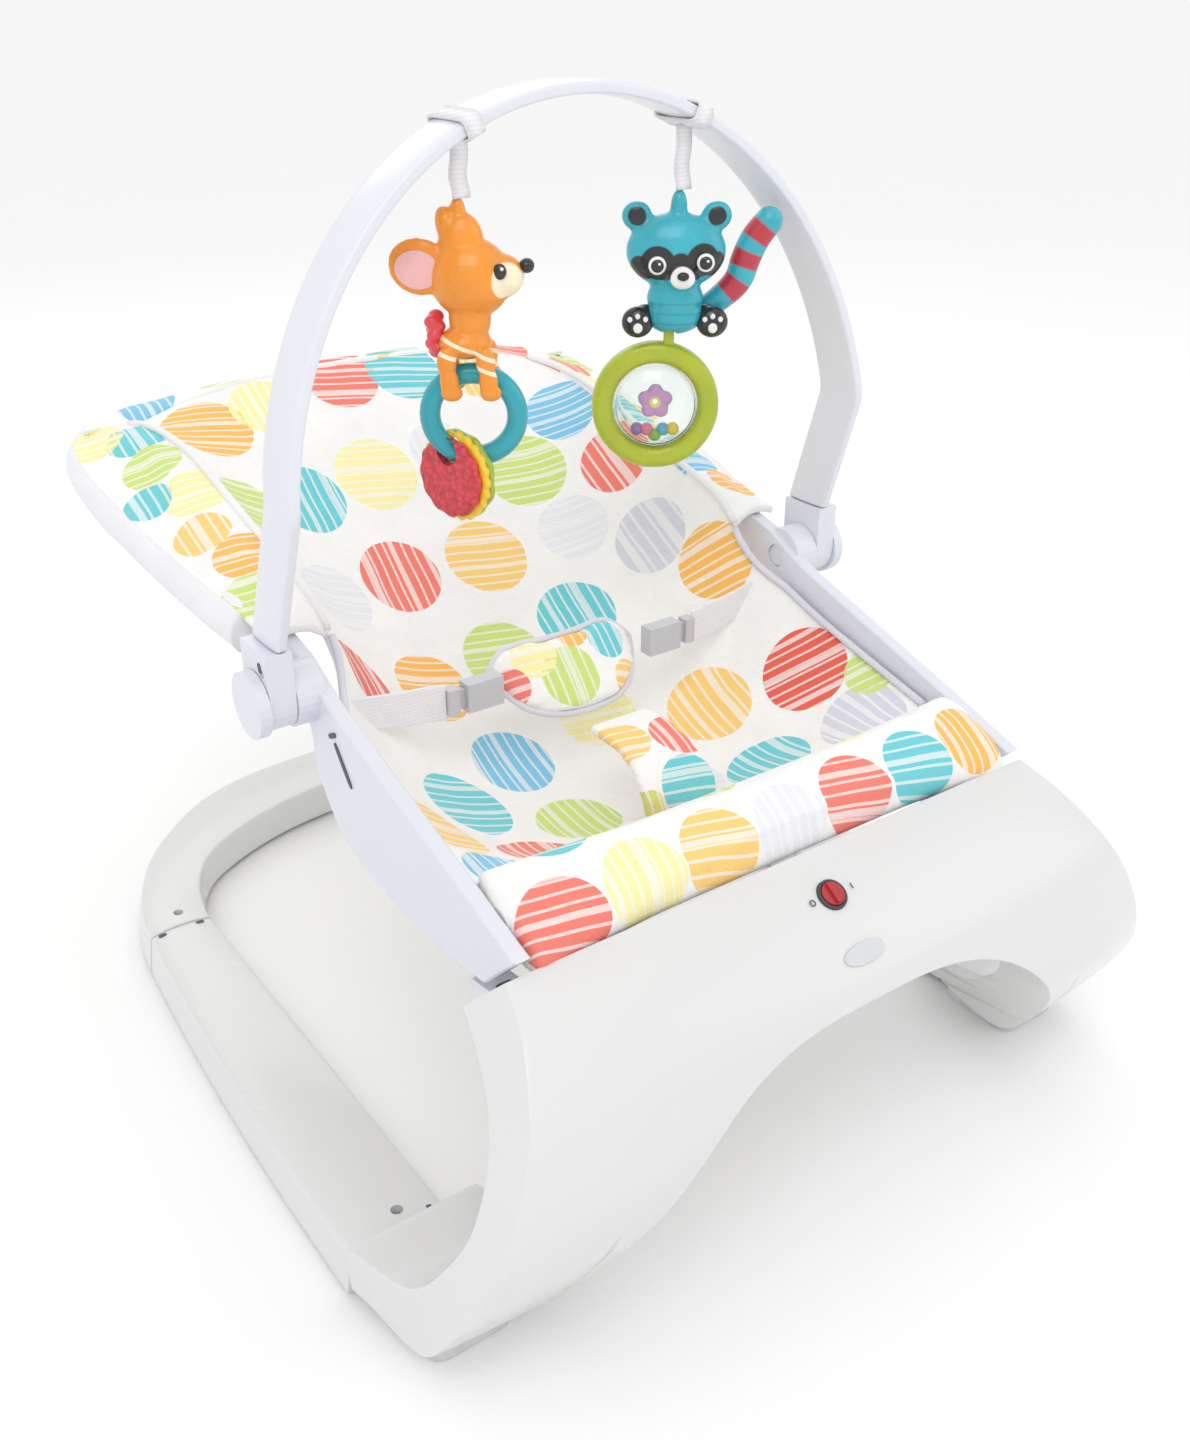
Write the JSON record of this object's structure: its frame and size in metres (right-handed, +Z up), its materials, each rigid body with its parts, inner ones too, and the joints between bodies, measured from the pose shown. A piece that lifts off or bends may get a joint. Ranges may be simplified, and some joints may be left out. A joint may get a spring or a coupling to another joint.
{
  "type": "infant bouncer seat",
  "caption": "Infant bouncer seat with a curved spring base, padded sling seat with waist restraint, pivoting toy bar and hanging animal toys.",
  "frame": {"origin": "floor level, under the middle of the bounding box", "axes": "+Z up, the front fascia faces -Y, the seat back rises towards +Y, +X to the side of the raccoon toy"},
  "size_m": [0.5014, 0.6161, 0.558],
  "materials": {
    "base_white": "smooth semi-gloss moulded shell",
    "seat_white": "cool white, fine satin moulding",
    "tube_white": "white powder-coated steel tube",
    "screw_steel": "zinc-plated screw",
    "dark_plastic": "fine matte moulding",
    "foot_rubber": "soft non-slip pad",
    "cover_fabric": "quilted woven cover printed with striped dots",
    "webbing": "narrow woven strap",
    "clear_window": "clear domed plastic window",
    "deer_orange": "semi-gloss toy plastic",
    "toy_teal": "glossy toy plastic",
    "toy_lime": "glossy toy plastic",
    "teether_red": "soft bumpy teething rubber",
    "bead_purple": "glossy bead",
    "knob_red": "satin turning knob",
    "cell_copper": "metal can and contact"
  },
  "bodies": {
    "base": {"front_fascia": "base_white", "fascia_back_cover": "base_white", "rear_loop": "base_white", "left_floor_rail": "base_white", "right_floor_rail": "base_white", "left_front_screw": "screw_steel", "right_front_screw": "screw_steel", "left_rear_screw": "screw_steel", "right_rear_screw": "screw_steel", "left_front_foot": "foot_rubber", "right_front_foot": "foot_rubber", "left_rear_foot": "foot_rubber", "right_rear_foot": "foot_rubber", "battery_cell": "cell_copper", "battery_contact": "cell_copper", "vibration_motor": "screw_steel", "vibration_cradle": "dark_plastic", "switch_bezel": "dark_plastic", "left_seat_mount": "seat_white", "right_seat_mount": "seat_white"},
    "eccentric": {"eccentric_weight": "cell_copper"},
    "battery_hatch": {"battery_door": "base_white", "battery_door_screw": "screw_steel"},
    "knob": {"switch_knob": "knob_red"},
    "seat": {"left_side_panel": "seat_white", "right_side_panel": "seat_white", "left_hub_cap": "seat_white", "right_hub_cap": "seat_white", "front_cross_tube": "tube_white", "seat_back_tube": "tube_white", "seat_sling": "cover_fabric", "left_side_wing": "cover_fabric", "right_side_wing": "cover_fabric", "front_roll": "cover_fabric", "crotch_pad": "cover_fabric", "waist_pad": "cover_fabric", "left_buckle_socket": "dark_plastic", "right_buckle_socket": "dark_plastic"},
    "left_belt": {"left_buckle_tongue": "dark_plastic", "left_waist_belt": "webbing"},
    "right_belt": {"right_buckle_tongue": "dark_plastic", "right_waist_belt": "webbing"},
    "bar": {"toy_bar": "seat_white", "left_bar_socket": "seat_white", "right_bar_socket": "seat_white", "left_socket_screw": "screw_steel", "right_socket_screw": "screw_steel", "deer_strap_loop": "webbing", "raccoon_strap_loop": "webbing"},
    "deer_hanger": {"deer_strap": "webbing"},
    "deer": {"deer_toy": "deer_orange"},
    "deer_ring": {"teal_ring": "toy_teal"},
    "deer_teether": {"teether": "teether_red"},
    "raccoon_hanger": {"raccoon_strap": "webbing"},
    "raccoon": {"raccoon_toy": "toy_teal"},
    "rattle": {"rattle_ring": "toy_lime", "rattle_front_window": "clear_window", "rattle_back_window": "clear_window"},
    "rattle_beads": {"rattle_bead_1": "bead_purple", "rattle_bead_2": "bead_purple"}
  },
  "joints": [
    {"name": "seat_bounce", "type": "hinge", "parent": "base", "child": "seat", "pos_m": [0, -0.236, 0.205], "axis": [1, 0, 0], "range_deg": [-4, 3], "stiffness_Nm_per_rad": 360, "springref_deg": 1.3},
    {"name": "toy_bar_pivot", "type": "hinge", "parent": "seat", "child": "bar", "pos_m": [0, -0.031, 0.265], "axis": [1, 0, 0], "range_deg": [-12, 40]},
    {"name": "left_buckle_release", "type": "slide", "parent": "seat", "child": "left_belt", "axis": [-1, 0, 0], "range_m": [0, 0.02]},
    {"name": "right_buckle_release", "type": "slide", "parent": "seat", "child": "right_belt", "axis": [1, 0, 0], "range_m": [0, 0.02]},
    {"name": "switch_turn", "type": "hinge", "parent": "base", "child": "knob", "pos_m": [0, -0.261, 0.1922], "axis": [0, -0.5312, 0.8473], "range_deg": [0, 45]},
    {"name": "motor_spin", "type": "hinge", "parent": "base", "child": "eccentric", "pos_m": [-0.033, -0.269, 0.1665], "axis": [1, 0, 0], "continuous": true},
    {"name": "battery_door_open", "type": "hinge", "parent": "base", "child": "battery_hatch", "pos_m": [0, -0.265, 0.1514], "axis": [1, 0, 0], "range_deg": [0, 100]},
    {"name": "deer_strap_swing", "type": "hinge", "parent": "bar", "child": "deer_hanger", "pos_m": [-0.068, -0.036, 0.52763], "axis": [1, 0, 0], "range_deg": [-25, 25]},
    {"name": "deer_swing", "type": "hinge", "parent": "deer_hanger", "child": "deer", "pos_m": [-0.068, -0.036, 0.505], "axis": [0, 1, 0], "range_deg": [-25, 25]},
    {"name": "ring_swing", "type": "hinge", "parent": "deer", "child": "deer_ring", "pos_m": [-0.06554, -0.03772, 0.42], "axis": [0.8192, -0.5736, 0], "range_deg": [-12, 12]},
    {"name": "teether_swing", "type": "hinge", "parent": "deer_ring", "child": "deer_teether", "pos_m": [-0.07455, -0.03141, 0.3787], "axis": [0.7266, -0.5088, -0.4618], "range_deg": [-8, 8]},
    {"name": "raccoon_strap_swing", "type": "hinge", "parent": "bar", "child": "raccoon_hanger", "pos_m": [0.072, -0.036, 0.52581], "axis": [1, 0, 0], "range_deg": [-25, 25]},
    {"name": "raccoon_swing", "type": "hinge", "parent": "raccoon_hanger", "child": "raccoon", "pos_m": [0.072, -0.036, 0.4985], "axis": [0, 1, 0], "range_deg": [-10, 25]},
    {"name": "rattle_swing", "type": "hinge", "parent": "raccoon", "child": "rattle", "pos_m": [0.0679, -0.0331, 0.4245], "axis": [0.8192, -0.5736, 0], "range_deg": [-15, 15]},
    {"name": "bead_roll", "type": "hinge", "parent": "rattle", "child": "rattle_beads", "pos_m": [0.06217, -0.02912, 0.381], "axis": [0.5736, 0.8192, 0], "range_deg": [-60, 60]}
  ]
}
